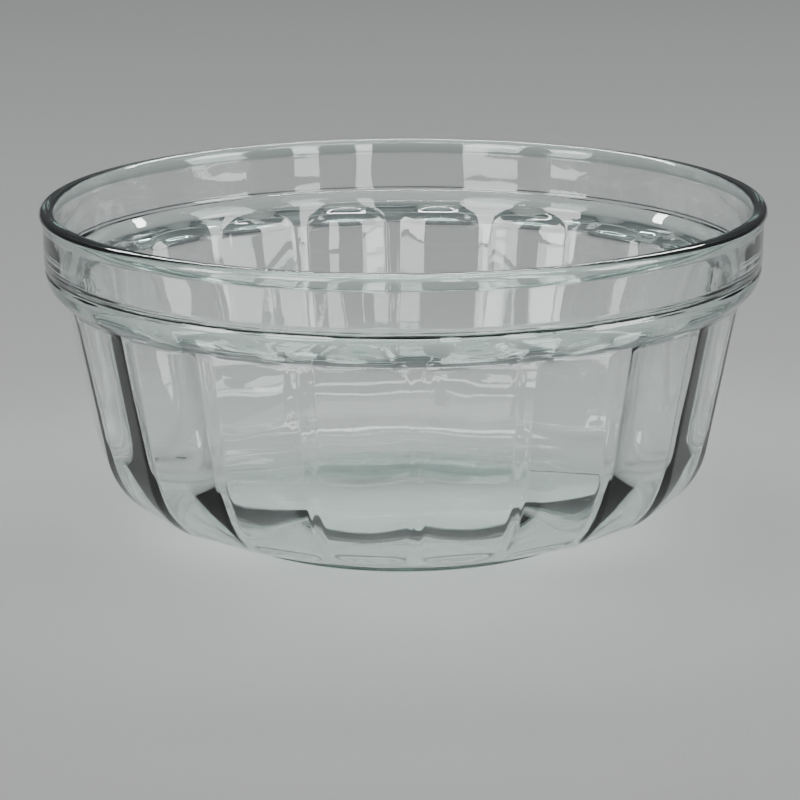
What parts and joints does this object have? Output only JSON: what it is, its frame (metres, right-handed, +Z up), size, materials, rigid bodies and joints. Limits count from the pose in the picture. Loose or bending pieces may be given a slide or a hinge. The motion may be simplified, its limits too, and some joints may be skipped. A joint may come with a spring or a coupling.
{
  "type": "glass stacking bowl",
  "caption": "Clear pressed-glass bowl with a smooth collar, a rounded stacking bead and a body of 20 vertical panels on a small round foot.",
  "frame": {"origin": "centre of the foot's flat contact ring, on the surface the bowl stands on", "axes": "+Z up along the bowl's axis; a rib between two panels faces -Y, the side nearest the camera"},
  "size_m": [0.23, 0.23, 0.105],
  "materials": {
    "clear_glass": "clear, polished, faintly green where thick"
  },
  "bodies": {
    "root": {"glass_bowl": "clear_glass"}
  },
  "joints": []
}
